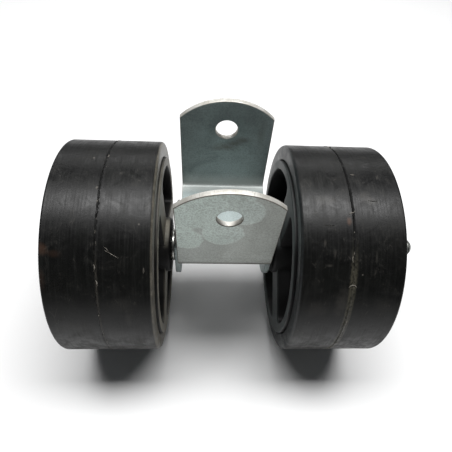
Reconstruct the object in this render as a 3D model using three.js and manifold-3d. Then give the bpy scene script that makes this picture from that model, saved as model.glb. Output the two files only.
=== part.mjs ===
// Gate wheel: two rubber-tyred wheels on one long bolt, with a zinc-plated saddle between them
// that bolts round the bottom rail of a gate.
//
// Millimetres, +Z up. X runs along the axle, and the saddle's two ears face +Y and -Y.
// The origin is the middle of the saddle's seat, the face that the gate rail rests on.

import * as THREE from "three";
import { mergeVertices } from "three/addons/utils/BufferGeometryUtils.js";
import Module from "manifold-3d";

// ---------- driving dimensions ----------

const PLATE = 3.6;               // thickness of both bent plates
const BEND_INSIDE = 3.0;         // inside radius of every bend

// Saddle bracket: a U that the rail drops into.
const SADDLE_WIDTH = 60.3;
const SADDLE_OUTSIDE = 36.5;     // from the middle to the outer face of an ear, at its foot
const EAR_LEAN = 0.032;          // each ear leans outward by this slope
const EAR_CORNER = 59.6;         // height of an ear's side corners above the seat
const EAR_APEX = 72.6;           // height of the middle of its arched top
const BOLT_HOLE_HEIGHT = 51.2;
const BOLT_HOLE_RADIUS = 7.15;

// Axle yoke: an upside-down U, welded under the saddle, that the axle passes through.
const SEAT_TO_AXLE = 31.9;
const YOKE_OUTSIDE = 34.4;       // from its middle to the outer face of a leg
const YOKE_SHIFT = 0.5;          // it is welded on this far towards the right wheel
const YOKE_WIDTH = 42.0;         // also the diameter of its rounded leg ends
const WELD_LENGTH = 38.0;
const WELD_LEG = 3.6;
const WELD_TO_YOKE_FACE = 0.8;   // the bead stops this far short of the yoke's outer face

// Axle bolt, its nut and the washers.
const BOLT_RADIUS = 6.35;
const BOLT_TIP = 147.0;
const BOLT_UNDER_HEAD = -119.7;
const BOLT_POINT = 2.2;          // chamfer at the threaded end
const HEX_ACROSS_FLATS = 19.05;
const HEX_CHAMFER = { inset: 0.2, length: 2.0, rise: 3.4 };
const HEAD_THICKNESS = 8.0;
const NUT_THICKNESS = 11.1;
const NUT_COLLAR = 3.6;          // round crown of the nut that holds the nylon ring
const NUT_COLLAR_INSET = 0.6;    // the crown is this much smaller than the flats
const NUT_LIP = 0.6;             // turned-in lip that keeps the ring in
const NYLON_RADIUS = 8.0;
const WASHER_HOLE_RADIUS = 6.85;
const INNER_WASHER = { radius: 12.0, thickness: 1.8 };
const OUTER_WASHER = { radius: 12.7, thickness: 2.4 };

// Wheels: 6 in across and 2 1/2 in wide.
const TYRE_RADIUS = 76.2;
const TYRE_INNER_FACE = 43.0;    // from the middle of the axle to the near side of the tread
const TYRE_WIDTH = 63.8;
const TYRE_SHOULDER = 3.2;
const SEAM_PROUD = 0.5;          // moulding flash round the middle of the tread
const SEAM_HALF_WIDTH = 0.6;
const RIM_RADIUS = 65.0;         // outside of the core's rim
const RIM_INSIDE = 58.7;
const RIM_PROUD = 1.7;           // the rim stands this far out of the tyre on each side
const SPOKES = 3;
const SPOKE_WIDTH = 20.0;
const FIRST_SPOKE_ANGLE = 93.4;  // degrees, from +Y towards +Z
const POCKET_FILLET = 7.0;
const POCKET_FOOT_SUNK = 1.5;    // the openings are cut this far into the hub, which then fills them
const HUB_RADIUS = 20.5;
const HUB_INNER_END = 37.3;
const HUB_LENGTH = 79.4;
const HUB_CHAMFER = 1.8;
const BUSH_RADIUS = 11.0;
const BUSH_LENGTH = 22.0;
const BUSH_SUNK = 0.5;           // each bush stops this far inside its end of the hub

// Gaps between pieces.
const GAP = 0.3;                 // between pieces that touch
const RUNNING = 0.05;            // radial, between the bolt and what turns on it
const OVERCUT = 5;               // cutting shapes reach this far past what they cut

// Places along the axle that follow from the sizes above.
const tyreOuterFace = TYRE_INNER_FACE + TYRE_WIDTH;
const rimInnerFace = TYRE_INNER_FACE - RIM_PROUD;
const rimOuterFace = tyreOuterFace + RIM_PROUD;
const hubOuterEnd = HUB_INNER_END + HUB_LENGTH;
const nutStart = hubOuterEnd + GAP + OUTER_WASHER.thickness + GAP;
const nutCollarStart = nutStart + NUT_THICKNESS;
const nutEnd = nutCollarStart + NUT_COLLAR;

// Facets: per full turn for round pieces, and per curve for the plates and the openings.
const ROUND = { tyre: 64, hub: 32, small: 28 };
const CURVE = { earTop: 12, earHole: 14, yokeEnd: 11, pocket: 8, shoulder: 3, bend: 6 };

// ---------- materials ----------

const zinc = new THREE.MeshStandardMaterial({ color: 0xb7bdb8, roughness: 0.45, metalness: 0.85 });
const weldMetal = new THREE.MeshStandardMaterial({ color: 0xa3a7a3, roughness: 0.55, metalness: 0.85 });
const steel = new THREE.MeshStandardMaterial({ color: 0xc4c6c4, roughness: 0.35, metalness: 0.95 });
const rubber = new THREE.MeshStandardMaterial({ color: 0x262628, roughness: 0.6, metalness: 0.0 });
const coreBlack = new THREE.MeshStandardMaterial({ color: 0x2c2e2e, roughness: 0.7, metalness: 0.0 });
const bronze = new THREE.MeshStandardMaterial({ color: 0x9c7a4b, roughness: 0.4, metalness: 0.9 });
const nylon = new THREE.MeshStandardMaterial({ color: 0xd9dde0, roughness: 0.5, metalness: 0.0 });

// ---------- solids: joining, cutting and lathe helpers ----------

const wasm = await Module();
wasm.setup();

// A closed three.js geometry as a solid that can be joined and cut.
function solid(geometry) {
  const bare = geometry.clone();
  bare.deleteAttribute("normal");
  bare.deleteAttribute("uv");
  const merged = mergeVertices(bare, 1e-4);
  return new wasm.Manifold(new wasm.Mesh({
    numProp: 3,
    vertProperties: new Float32Array(merged.attributes.position.array),
    triVerts: new Uint32Array(merged.index.array),
  }));
}

// A joined or cut solid back as a three.js geometry.
function geometryOf(shape) {
  const mesh = shape.getMesh();
  const geometry = new THREE.BufferGeometry();
  geometry.setAttribute("position", new THREE.BufferAttribute(mesh.vertProperties, 3));
  geometry.setIndex(new THREE.BufferAttribute(mesh.triVerts, 1));
  geometry.computeVertexNormals();
  return geometry;
}

// A profile of [x along the axle, radius] points, turned about the X axis.
function turned(profile, facets) {
  const points = profile.map(([x, radius]) => new THREE.Vector2(radius, x));
  return new THREE.LatheGeometry(points, facets).rotateZ(-Math.PI / 2);
}

// A plain round bar along X.
function roundBar(x0, x1, radius, facets) {
  return turned([[x0, 0], [x0, radius], [x1, radius], [x1, 0]], facets);
}

// A ring along X, with square edges.
function ring(x0, x1, inside, outside, facets) {
  const section = [[x0, inside], [x0, outside], [x1, outside], [x1, inside], [x0, inside]];
  return turned(section, facets);
}

// A shape drawn in (Y, Z), extruded along X from x0 to x1.
function alongX(shape, x0, x1, curveSegments) {
  const geometry = new THREE.ExtrudeGeometry(shape, { depth: x1 - x0, bevelEnabled: false, curveSegments });
  geometry.applyMatrix4(new THREE.Matrix4().set(0, 0, 1, x0, 1, 0, 0, 0, 0, 1, 0, 0, 0, 0, 0, 1));
  return geometry;
}

// A shape drawn in (X, Z), extruded along Y, centred on Y = 0.
function alongY(shape, depth, curveSegments) {
  const geometry = new THREE.ExtrudeGeometry(shape, { depth, bevelEnabled: false, curveSegments });
  return geometry.translate(0, 0, -depth / 2).rotateX(Math.PI / 2);
}

// Radius of the circle round a faceted hole whose flats stay clear of a bar of the given radius.
function holeRadius(barRadius, clearance, facets) {
  return (barRadius + clearance) / Math.cos(Math.PI / facets);
}

// ---------- bent plates ----------

// Section of a strip bent into a U. The base's outer face is on v = 0 and the arms reach up to
// v = height, with their outer faces at u = +-outside at the foot and leaning out by slope.
function channelSection(outside, height, slope) {
  const lean = Math.atan(slope);
  const outerBend = BEND_INSIDE + PLATE;
  const armDirection = new THREE.Vector2(Math.sin(lean), Math.cos(lean));
  const armNormal = new THREE.Vector2(Math.cos(lean), -Math.sin(lean));
  const bendCentre = new THREE.Vector2(outside - outerBend, outerBend);
  const armLength = (height - outerBend) / armDirection.y;

  // Right half of one skin of the strip: through the bend, then up the arm.
  function skin(radius) {
    const points = [];
    for (let i = 0; i <= CURVE.bend; i++) {
      const angle = -Math.PI / 2 + (i / CURVE.bend) * (Math.PI / 2 - lean);
      const step = new THREE.Vector2(Math.cos(angle), Math.sin(angle)).multiplyScalar(radius);
      points.push(bendCentre.clone().add(step));
    }
    const foot = bendCentre.clone().addScaledVector(armNormal, radius);
    points.push(foot.addScaledVector(armDirection, armLength));
    return points;
  }

  const backward = (points) => points.slice().reverse();
  const leftHalf = (points) => points.map((p) => new THREE.Vector2(-p.x, p.y));
  const outer = skin(outerBend);
  const inner = skin(BEND_INSIDE);
  return new THREE.Shape([...outer, ...backward(inner), ...leftHalf(inner), ...backward(leftHalf(outer))]);
}

// The saddle, with its seat on Z = 0.
function saddleBracket() {
  const half = SADDLE_WIDTH / 2;
  const strip = alongX(channelSection(SADDLE_OUTSIDE, EAR_APEX + 2 * PLATE, EAR_LEAN), -half, half);
  strip.translate(0, 0, -PLATE);

  const rise = EAR_APEX - EAR_CORNER;
  const archRadius = (half * half + rise * rise) / (2 * rise);
  const archHalfAngle = Math.asin(half / archRadius);
  const outline = new THREE.Shape();
  outline.moveTo(half + 1, -2 * PLATE);
  outline.lineTo(half + 1, EAR_CORNER);
  outline.lineTo(half, EAR_CORNER);
  outline.absarc(0, EAR_APEX - archRadius, archRadius,
    Math.PI / 2 - archHalfAngle, Math.PI / 2 + archHalfAngle, false);
  outline.lineTo(-half - 1, EAR_CORNER);
  outline.lineTo(-half - 1, -2 * PLATE);

  const hole = new THREE.Shape().absarc(0, BOLT_HOLE_HEIGHT, BOLT_HOLE_RADIUS, 0, 2 * Math.PI, false);
  const depth = 4 * SADDLE_OUTSIDE;
  const trimmed = solid(strip).intersect(solid(alongY(outline, depth, CURVE.earTop)));
  return geometryOf(trimmed.subtract(solid(alongY(hole, depth, CURVE.earHole))));
}

// The yoke, about the axle, with its bridge just under the saddle.
function axleYoke() {
  const top = SEAT_TO_AXLE - PLATE - GAP;
  const legRound = YOKE_WIDTH / 2;
  const section = channelSection(YOKE_OUTSIDE, top + legRound + PLATE, 0);
  const strip = alongY(section, YOKE_WIDTH + 2);
  strip.rotateX(Math.PI).translate(0, 0, top);

  const outline = new THREE.Shape();
  outline.moveTo(legRound, top + 1);
  outline.lineTo(-legRound, top + 1);
  outline.absarc(0, 0, legRound, Math.PI, 2 * Math.PI, false);
  const reach = 2 * YOKE_OUTSIDE;
  const trimmed = solid(strip).intersect(solid(alongX(outline, -reach, reach, CURVE.yokeEnd)));
  const hole = solid(roundBar(-reach, reach, holeRadius(BOLT_RADIUS, RUNNING, ROUND.small), ROUND.small));
  return geometryOf(trimmed.subtract(hole));
}

// Fillet weld in the corner between the saddle's side edge and the yoke's shoulder, along Y.
// side is -1 for the left edge and 1 for the right one.
function weldBead(side) {
  const edge = SADDLE_WIDTH / 2 + GAP;
  const foot = -PLATE - GAP;
  const yokeEdge = YOKE_OUTSIDE + side * YOKE_SHIFT;
  const bend = BEND_INSIDE + PLATE;
  const drop = (x) => foot - bend + Math.sqrt(bend ** 2 - Math.max(0, x - (yokeEdge - bend)) ** 2);
  const reach = Math.min(edge + WELD_LEG, yokeEdge - WELD_TO_YOKE_FACE);
  const section = new THREE.Shape();
  section.moveTo(edge, foot + WELD_LEG);
  section.lineTo(edge, drop(edge) + GAP);
  section.lineTo((edge + reach) / 2, drop((edge + reach) / 2) + GAP);
  section.lineTo(reach, drop(reach) + GAP);
  section.lineTo(reach - 0.1 * WELD_LEG, foot + 0.45 * WELD_LEG);
  section.lineTo(edge + 0.45 * WELD_LEG, foot + 0.9 * WELD_LEG);
  const bead = alongY(section, WELD_LENGTH);
  return side > 0 ? bead : bead.rotateZ(Math.PI);
}

// ---------- axle ----------

// A hexagonal prism along X, with the corners turned off at its outer end.
function hexPrism(innerEnd, outerEnd) {
  const corner = HEX_ACROSS_FLATS / Math.sqrt(3);
  const hexagon = new THREE.Shape();
  for (let i = 0; i < 6; i++) {
    const angle = (i * Math.PI) / 3;
    const point = [corner * Math.cos(angle), corner * Math.sin(angle)];
    if (i === 0) hexagon.moveTo(...point);
    else hexagon.lineTo(...point);
  }
  const x0 = Math.min(innerEnd, outerEnd);
  const x1 = Math.max(innerEnd, outerEnd);
  const prism = solid(alongX(hexagon, x0, x1, 1));
  const inward = Math.sign(innerEnd - outerEnd);
  const small = HEX_ACROSS_FLATS / 2 - HEX_CHAMFER.inset;
  const large = small + HEX_CHAMFER.rise;
  const cone = [
    [outerEnd, 0],
    [outerEnd, small],
    [outerEnd + HEX_CHAMFER.length * inward, large],
    [innerEnd + inward, large],
    [innerEnd + inward, 0],
  ];
  return prism.intersect(solid(turned(inward > 0 ? cone : cone.reverse(), ROUND.small)));
}

function axleBolt() {
  const shank = turned([
    [BOLT_UNDER_HEAD - HEAD_THICKNESS / 2, 0],
    [BOLT_UNDER_HEAD - HEAD_THICKNESS / 2, BOLT_RADIUS],
    [BOLT_TIP - BOLT_POINT, BOLT_RADIUS],
    [BOLT_TIP, BOLT_RADIUS - BOLT_POINT],
    [BOLT_TIP, 0],
  ], ROUND.small);
  const head = hexPrism(BOLT_UNDER_HEAD, BOLT_UNDER_HEAD - HEAD_THICKNESS);
  return geometryOf(solid(shank).add(head));
}

function lockNut() {
  const overlap = 1;
  const collarRadius = HEX_ACROSS_FLATS / 2 - NUT_COLLAR_INSET;
  const lipStart = nutEnd - NUT_LIP;
  const collar = roundBar(nutStart + overlap, nutEnd, collarRadius, ROUND.small);
  const bore = roundBar(nutStart - overlap, nutEnd + overlap, BOLT_RADIUS + GAP, ROUND.small);
  const ringSeat = roundBar(nutCollarStart, lipStart, NYLON_RADIUS + GAP, ROUND.small);
  const mouth = roundBar(lipStart - overlap, nutEnd + overlap, NYLON_RADIUS - NUT_LIP, ROUND.small);
  const body = hexPrism(nutStart, nutCollarStart).add(solid(collar));
  return geometryOf(body.subtract(solid(bore)).subtract(solid(ringSeat)).subtract(solid(mouth)));
}

function nylonRing() {
  return ring(nutCollarStart + GAP, nutEnd - NUT_LIP - GAP, BOLT_RADIUS + GAP, NYLON_RADIUS, ROUND.small);
}

// A washer whose face nearest the middle of the axle is at x.
function washer(x, size) {
  return ring(x, x + size.thickness, WASHER_HOLE_RADIUS, size.radius, ROUND.small);
}

// ---------- wheels, drawn on the +X side ----------

function tyre() {
  const inside = RIM_RADIUS + GAP;
  const seam = TYRE_INNER_FACE + TYRE_WIDTH / 2;
  const near = [];
  for (let i = 0; i <= CURVE.shoulder; i++) {
    const angle = (i / CURVE.shoulder) * (Math.PI / 2);
    const inset = TYRE_SHOULDER * (1 - Math.cos(angle));
    near.push([TYRE_INNER_FACE + inset, TYRE_RADIUS - TYRE_SHOULDER * (1 - Math.sin(angle))]);
  }
  const far = near.map(([x, radius]) => [2 * seam - x, radius]).reverse();
  const ridge = [
    [seam - SEAM_HALF_WIDTH, TYRE_RADIUS],
    [seam, TYRE_RADIUS + SEAM_PROUD],
    [seam + SEAM_HALF_WIDTH, TYRE_RADIUS],
  ];
  const start = [TYRE_INNER_FACE, inside];
  return turned([start, ...near, ...ridge, ...far, [tyreOuterFace, inside], start], ROUND.tyre);
}

// Outline of one opening between two spokes, in (Y, Z), in the middle of the gap at angle.
// Its inner end is inside the hub, which is added after the openings are cut.
function pocketOutline(angle) {
  const halfGap = Math.PI / SPOKES;
  const atRim = halfGap - Math.asin(SPOKE_WIDTH / 2 / RIM_INSIDE);
  const footRadius = HUB_RADIUS - POCKET_FOOT_SUNK;
  const atHub = halfGap - Math.asin(SPOKE_WIDTH / 2 / footRadius);
  const at = (radius, a) => new THREE.Vector2(radius * Math.cos(a), radius * Math.sin(a));
  const filletTurn = POCKET_FILLET / RIM_INSIDE;
  const shape = new THREE.Shape();

  const cornerA = at(RIM_INSIDE, angle - atRim);
  const footA = at(footRadius, angle - atHub);
  const beforeA = cornerA.clone().addScaledVector(footA.clone().sub(cornerA).normalize(), POCKET_FILLET);
  const cornerB = at(RIM_INSIDE, angle + atRim);
  const footB = at(footRadius, angle + atHub);
  const afterB = cornerB.clone().addScaledVector(footB.clone().sub(cornerB).normalize(), POCKET_FILLET);
  const arcStart = at(RIM_INSIDE, angle - atRim + filletTurn);

  shape.moveTo(footA.x, footA.y);
  shape.lineTo(beforeA.x, beforeA.y);
  shape.quadraticCurveTo(cornerA.x, cornerA.y, arcStart.x, arcStart.y);
  shape.absarc(0, 0, RIM_INSIDE, angle - atRim + filletTurn, angle + atRim - filletTurn, false);
  shape.quadraticCurveTo(cornerB.x, cornerB.y, afterB.x, afterB.y);
  shape.lineTo(footB.x, footB.y);
  shape.absarc(0, 0, footRadius, angle + atHub, angle - atHub, true);
  return shape;
}

// The core: rim, spokes and hub moulded in one piece.
function wheelCore() {
  let core = solid(roundBar(rimInnerFace, rimOuterFace, RIM_RADIUS, ROUND.tyre));
  const hub = solid(turned([
    [HUB_INNER_END, 0],
    [HUB_INNER_END, HUB_RADIUS - HUB_CHAMFER],
    [HUB_INNER_END + HUB_CHAMFER, HUB_RADIUS],
    [hubOuterEnd - HUB_CHAMFER, HUB_RADIUS],
    [hubOuterEnd, HUB_RADIUS - HUB_CHAMFER],
    [hubOuterEnd, 0],
  ], ROUND.hub));

  for (let i = 0; i < SPOKES; i++) {
    const middle = THREE.MathUtils.degToRad(FIRST_SPOKE_ANGLE) + ((2 * i + 1) * Math.PI) / SPOKES;
    const opening = alongX(pocketOutline(middle), rimInnerFace - OVERCUT, rimOuterFace + OVERCUT, CURVE.pocket);
    core = core.subtract(solid(opening));
  }
  const bore = roundBar(HUB_INNER_END - OVERCUT, hubOuterEnd + OVERCUT, BUSH_RADIUS + GAP, ROUND.small);
  return geometryOf(core.add(hub).subtract(solid(bore)));
}

// A plain bearing bush that starts at x and reaches outward along the axle.
function hubBush(x) {
  const inside = holeRadius(BOLT_RADIUS, RUNNING, ROUND.small);
  return ring(x, x + BUSH_LENGTH, inside, BUSH_RADIUS, ROUND.small);
}

// ---------- assembly ----------

const gateWheel = new THREE.Group();

function addPiece(parent, name, geometry, material, x = 0) {
  const mesh = new THREE.Mesh(geometry, material);
  mesh.name = name;
  mesh.position.x = x;
  parent.add(mesh);
}

// The left side is the right side's mirror image in X, with its triangles turned back to face out.
function mirroredX(geometry) {
  const flipped = geometry.index ? geometry.toNonIndexed() : geometry.clone();
  flipped.scale(-1, 1, 1);
  const position = flipped.attributes.position;
  const a = new THREE.Vector3();
  const b = new THREE.Vector3();
  for (let i = 0; i < position.count; i += 3) {
    a.fromBufferAttribute(position, i + 1);
    b.fromBufferAttribute(position, i + 2);
    position.setXYZ(i + 1, b.x, b.y, b.z);
    position.setXYZ(i + 2, a.x, a.y, a.z);
  }
  flipped.deleteAttribute("normal");
  flipped.deleteAttribute("uv");
  const merged = mergeVertices(flipped, 1e-4);
  merged.computeVertexNormals();
  return merged;
}

addPiece(gateWheel, "saddle_bracket", saddleBracket(), zinc);
addPiece(gateWheel, "weld_left", weldBead(-1), weldMetal);
addPiece(gateWheel, "weld_right", weldBead(1), weldMetal);

// Everything below is drawn about the axle.
const aboutAxle = new THREE.Group();
aboutAxle.position.z = -SEAT_TO_AXLE;
gateWheel.add(aboutAxle);

addPiece(aboutAxle, "axle_yoke", axleYoke(), zinc, YOKE_SHIFT);
addPiece(aboutAxle, "axle_bolt", axleBolt(), steel);
addPiece(aboutAxle, "lock_nut", lockNut(), steel);
addPiece(aboutAxle, "lock_nut_nylon_ring", nylonRing(), nylon);

const sidePieces = [
  ["washer_inner", washer(HUB_INNER_END - GAP - INNER_WASHER.thickness, INNER_WASHER), steel],
  ["washer_outer", washer(hubOuterEnd + GAP, OUTER_WASHER), steel],
  ["bush_inner", hubBush(HUB_INNER_END + BUSH_SUNK), bronze],
  ["bush_outer", hubBush(hubOuterEnd - BUSH_SUNK - BUSH_LENGTH), bronze],
  ["wheel_core", wheelCore(), coreBlack],
  ["tyre", tyre(), rubber],
];
for (const [name, geometry, material] of sidePieces) {
  addPiece(aboutAxle, `${name}_left`, mirroredX(geometry), material);
  addPiece(aboutAxle, `${name}_right`, geometry, material);
}

export default gateWheel;
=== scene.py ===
import math
import random

import bmesh
import bpy
from mathutils import Matrix, Vector, noise


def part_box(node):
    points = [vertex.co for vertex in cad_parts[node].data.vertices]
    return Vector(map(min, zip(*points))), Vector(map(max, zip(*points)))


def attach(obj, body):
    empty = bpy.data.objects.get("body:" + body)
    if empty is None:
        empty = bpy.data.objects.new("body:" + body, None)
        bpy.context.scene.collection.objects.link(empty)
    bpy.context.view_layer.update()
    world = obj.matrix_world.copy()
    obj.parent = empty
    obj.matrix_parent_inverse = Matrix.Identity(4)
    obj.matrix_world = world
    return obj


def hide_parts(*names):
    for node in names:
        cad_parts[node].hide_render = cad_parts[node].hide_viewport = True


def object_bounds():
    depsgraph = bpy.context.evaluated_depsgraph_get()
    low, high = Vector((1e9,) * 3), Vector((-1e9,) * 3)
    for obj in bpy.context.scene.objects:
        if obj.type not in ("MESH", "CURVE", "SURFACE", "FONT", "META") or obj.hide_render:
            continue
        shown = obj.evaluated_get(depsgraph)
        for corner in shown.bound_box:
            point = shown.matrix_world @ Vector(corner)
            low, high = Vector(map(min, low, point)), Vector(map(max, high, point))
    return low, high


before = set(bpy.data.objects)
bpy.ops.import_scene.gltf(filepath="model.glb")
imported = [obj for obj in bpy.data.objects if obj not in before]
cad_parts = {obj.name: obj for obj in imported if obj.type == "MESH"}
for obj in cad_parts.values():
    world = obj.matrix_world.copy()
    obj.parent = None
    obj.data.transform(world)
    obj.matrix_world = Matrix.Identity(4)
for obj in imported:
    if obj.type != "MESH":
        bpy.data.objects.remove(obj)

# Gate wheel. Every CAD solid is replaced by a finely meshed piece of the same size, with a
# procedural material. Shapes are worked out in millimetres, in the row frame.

cad_low, cad_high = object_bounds()

MM = 0.001

# ---------- driving dimensions, in millimetres ----------

AXLE_Z = 1000 * (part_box("tyre_left")[0].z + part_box("tyre_left")[1].z) / 2
FLOOR_Z = 1000 * cad_low.z

PLATE = 3.6                # thickness of both bent plates
BEND_INSIDE = 3.0
BEND_MIDDLE = BEND_INSIDE + PLATE / 2
BEND_OUTSIDE = BEND_INSIDE + PLATE
SHEARED_EDGE = 0.45        # rounding of the plates' cut edges

SADDLE_WIDTH = 60.3
SADDLE_OUTSIDE = 36.5
EAR_LEAN = math.atan(0.032)
EAR_CORNER = 59.6
EAR_APEX = 72.6
EAR_HOLE_HEIGHT = 51.2
EAR_HOLE_RADIUS = 7.15

YOKE_TOP = -3.9
YOKE_OUTSIDE = 34.4
YOKE_SHIFT = 0.5
YOKE_WIDTH = 42.0
YOKE_HOLE_RADIUS = 6.5
WELD_LENGTH = 38.0
WELD_HALF_WIDTH = 1.45
WELD_HALF_HEIGHT = 2.5
WELD_RIPPLE_PITCH = 2.1
SADDLE_SIDE = (50, 25, 0, -25, -50)    # points along the straight sides of the flat blanks
YOKE_SIDE = (30, 10, -10, -30)

BOLT_RADIUS = 6.35
HEAD_THICKNESS = 8.0
HEX_APOTHEM = 9.525
THREAD_LENGTH = 36.0
THREAD_PITCH = 1.954
THREAD_DEPTH = 1.05
POINT_DEPTH = 2.0          # how far the bolt's end is turned down
NUT_BORE = 6.65
NUT_HEX_LENGTH = 11.1
NUT_COLLAR_RADIUS = 8.9
NUT_MOUTH_RADIUS = 7.45
NUT_SEAT_RADIUS = 8.3
WASHER_BORE = 6.85

SEAM_PROUD = 0.5           # how far the tyre's moulding flash can stand out of the tread
TYRE_SHOULDER = 3.2        # towards the bracket
OUTER_SHOULDER = 1.6
SEAM_ZONE = 1.3            # the seam's ridge and groove lie within this distance of its middle
TYRE_STEPS = 400
SMALL_SCRAPS = 110
TYRE_INSIDE = 65.3
RIM_RADIUS = 65.0
RIM_INSIDE = 58.7
RIM_EDGE = 0.9
CORE_PROUD = 1.7           # the rim stands this far out of the tyre's sides
POCKET_EDGE = 1.1
SPOKES = 3
SPOKE_WIDTH = 20.0
FIRST_SPOKE_ANGLE = math.radians(93.4)
HUB_RADIUS = 20.5
HUB_BORE = 11.3
BUSH_BORE = 6.45
SEAM_X = 500 * (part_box("tyre_right")[0].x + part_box("tyre_right")[1].x)

# torn scraps of moulding flash large enough to see. Each is given by its middle, in millimetres from
# the seam and degrees round the tread, its length, the way it points (0 along the axle), how far it
# bows aside as a share of its length, and half its width
TORN_FLASH = {
    "left": [
        (0, 77, 4, 90, 0.15, 0.4), (2, 98, 3, 90, 0.15, 0.3), (0, 141, 4, 90, 0.15, 0.45),
        (1, 134, 4, 90, 0.15, 0.35), (0, 54, 4, 90, 0.15, 0.7),
        (-9, 128, 9, 150, 0.0, 0.2), (-6, 126, 4, 135, 0.1, 0.2), (-27, 135, 3, 90, 0.1, 0.2),
    ],
    "right": [
        (-1, 108, 5, -25, 0.1, 0.45), (4, 87, 3, 10, 0.15, 0.4), (0, 142, 5, 0, -0.3, 0.45),
        (-1, 129, 4, 90, 0.1, 0.45), (1, 162, 4, 90, 0.15, 0.5), (0, 54, 4, 90, 0.15, 0.7),
        (-15, 114, 6, 0, 0.05, 0.14), (13, 102, 6, 0, 0.05, 0.14),
    ],
}

# marks on the treads: x and angle on the tread, size, colour and strength
BROWN = (0.060, 0.032, 0.020)
CHALK = (0.110, 0.100, 0.088)
# scuff colour, also used for patches of painted highlight on the right tread
SCUFF_AND_SHEEN = (0.042, 0.039, 0.034)
TREAD_MARKS = {
    "left": [
        (-105, 126, (5, 5, 5), BROWN, 0.5), (-98, 128, (6, 3, 3), BROWN, 0.18),
        (-106, 140, (4, 9, 9), BROWN, 0.22), (-51, 115, 0.8, CHALK, 0.9),
        (-48, 135, (0.5, 2.5, 2.5), CHALK, 0.6), (-83, 79, 1.0, CHALK, 0.7),
        (-77, 98, (0.8, 1.5, 1.5), CHALK, 0.7), (-62, 152, (12, 7, 7), SCUFF_AND_SHEEN, 0.16),
        (-90, 165, (14, 6, 8), SCUFF_AND_SHEEN, 0.2), (-58, 160, (3, 9, 9), SCUFF_AND_SHEEN, 0.3),
    ],
    "right": [
        (79, 87, (1.6, 0.8, 0.8), CHALK, 1.0), (74, 108, (2.2, 0.9, 0.7), CHALK, 1.0),
        (72, 112, (2.2, 3.2, 3.2), BROWN, 0.9), (75, 142, (2.4, 0.9, 0.9), CHALK, 1.0),
        (80, 136, 0.7, CHALK, 0.9), (70, 150, (6, 14, 14), SCUFF_AND_SHEEN, 0.5), (55, 154, (9, 9, 9), SCUFF_AND_SHEEN, 0.25),
        # the scuff-coloured patches at about 100 degrees on the right tread are partly painted highlight,
        # lightening it where the overhead light's sheen falls
        (59, 102, (10, 5, 5), SCUFF_AND_SHEEN, 0.4), (83, 100, (6, 5, 5), SCUFF_AND_SHEEN, 0.4),
        (87, 102, (6, 4, 1.6), SCUFF_AND_SHEEN, 0.5), (96, 152, (9, 9, 9), SCUFF_AND_SHEEN, 0.15),
        (57, 122, (1.2, 3, 3), SCUFF_AND_SHEEN, 0.6), (63, 127, (1.0, 4, 4), SCUFF_AND_SHEEN, 0.5),
        (60, 132, (3.0, 1.4, 1.4), SCUFF_AND_SHEEN, 0.6), (88, 128, (1.0, 5, 5), SCUFF_AND_SHEEN, 0.5),
    ],
}

# water marks on the front ear, as circles: x and z of the middle, and the radius
EAR_MARKS = [
    (-24, 30, 10), (-3, 37, 12), (-8, 62, 21), (-24, 50, 10), (8, 57, 11), (-28, 62, 12), (-28, 41, 8),
]
# the smudge on the rear ear, as overlapping spots: x, z and size
EAR_SMUDGE = [(-4, 36, 4), (0, 37, 5), (5, 40, 4), (11, 43, 4)]

# how far out of the middle the ears' faces begin, in metres
FRONT_FACE = (0.0356, 0.0361)
REAR_FACE = (0.030, 0.033)

# ---------- studio dimensions, in metres and watts ----------

# name, place, size and power of each lamp
LIGHTS = [
    ("overhead", (0.06, 0.135, 1.05), (1.15, 0.34), 19.0),
    ("window", (0.0, 1.40, 0.70), (1.8, 0.26), 6.0),
]
WORLD_LIGHT = 0.06         # the world's strength as a light, and as seen by the camera
WORLD_SEEN = 1.08
FLOOR_HALF = 0.9
CAMERA_PLACE = (-0.014574, -0.167681, 0.222595)
CAMERA_ANGLES = (36.11334, -3.23654, -1.24236)
CAMERA_LENS = 31.68

# ---------- mesh helpers ----------


def rounded(corners, closed=True, steps=4):
    """Points of a path whose corners [x, y, size] are rounded off over that size."""
    points = []
    for i, (x, y, size) in enumerate(corners):
        here = Vector((x, y))
        if size == 0 or (not closed and i in (0, len(corners) - 1)):
            points.append(here)
            continue
        before = Vector(corners[i - 1][:2])
        after = Vector(corners[(i + 1) % len(corners)][:2])
        start = here + (before - here).normalized() * size
        end = here + (after - here).normalized() * size
        for k in range(steps + 1):
            t = k / steps
            points.append(start.lerp(here, t).lerp(here.lerp(end, t), t))
    return points


def about_axle(x, radius, angle):
    """A point at that distance from the axle. The angle runs from +Y towards +Z."""
    return Vector((x, radius * math.cos(angle), AXLE_Z + radius * math.sin(angle)))


def skin(bm, rings, closed=True, paint=0):
    """Joins each ring of vertices to the next with quads, and the last to the first if closed."""
    count = len(rings) if closed else len(rings) - 1
    for i in range(count):
        a, b = rings[i], rings[(i + 1) % len(rings)]
        for j in range(len(a)):
            k = (j + 1) % len(a)
            bm.faces.new((a[j], a[k], b[k], b[j])).material_index = paint


def turn(bm, profile, steps, shape=None, closed=True):
    """Turns a profile of (x, radius) points about the axle. shape(x, radius, angle) may move them."""
    rings = []
    for x, radius in profile:
        ring = []
        for i in range(steps):
            angle = 2 * math.pi * i / steps
            place = (x, radius) if shape is None else shape(x, radius, angle)
            ring.append(bm.verts.new(about_axle(*place, angle)))
        rings.append(ring)
    skin(bm, rings, closed)
    if not closed:
        bm.faces.new(rings[0])
        bm.faces.new(rings[-1])


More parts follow.
